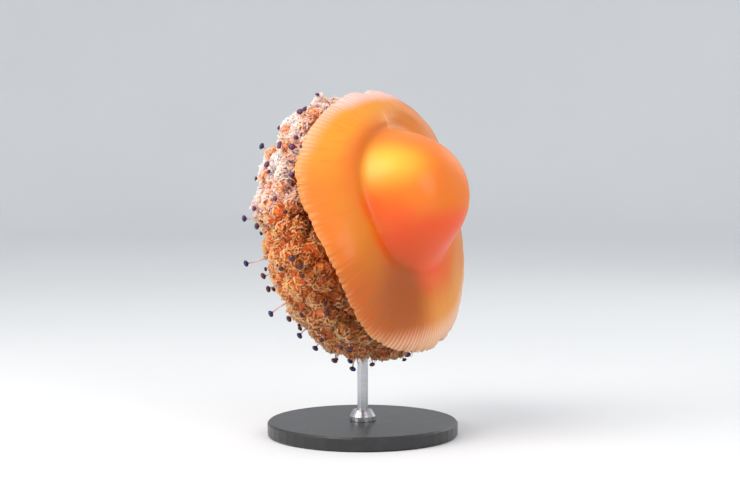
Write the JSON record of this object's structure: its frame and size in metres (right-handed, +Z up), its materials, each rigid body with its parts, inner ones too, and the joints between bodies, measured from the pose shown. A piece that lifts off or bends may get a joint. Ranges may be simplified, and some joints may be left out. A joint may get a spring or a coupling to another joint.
{
  "type": "fried egg jellyfish",
  "caption": "Life-size still model of a fried egg jellyfish: a domed bell with a lappeted margin and a mass of frilled mouth arms with stalked discs, on a display stand.",
  "frame": {"origin": "centre of the stand base's underside, on the surface it stands on", "axes": "+Z up; +X the way the animal swims, its crown pitched 16 degrees above +X"},
  "size_m": [0.1837, 0.2184, 0.2889],
  "materials": {
    "bell_dome": "wet, translucent yellow-orange jelly",
    "bell_disc": "wet, translucent orange jelly with fine radial striation",
    "bell_margin": "thin, pale pinkish lappets",
    "arm_disc": "soft orange-brown flesh",
    "mouth_arms": "frilled brown and pink flesh with purple-blue clubs",
    "stand_base": "satin black paint",
    "stand_steel": "brushed"
  },
  "bodies": {
    "root": {"bell_dome": "bell_dome", "bell_disc": "bell_disc", "bell_margin_1": "bell_margin", "bell_margin_2": "bell_margin", "bell_margin_3": "bell_margin", "bell_margin_4": "bell_margin", "bell_margin_5": "bell_margin", "bell_margin_6": "bell_margin", "bell_margin_7": "bell_margin", "bell_margin_8": "bell_margin", "arm_disc": "arm_disc", "mouth_arm_1": "mouth_arms", "mouth_arm_2": "mouth_arms", "mouth_arm_3": "mouth_arms", "mouth_arm_4": "mouth_arms", "mouth_arm_5": "mouth_arms", "mouth_arm_6": "mouth_arms", "mouth_arm_7": "mouth_arms", "mouth_arm_8": "mouth_arms", "stand_base": "stand_base", "stand_collar": "stand_steel", "stand_rod": "stand_steel"}
  },
  "joints": []
}
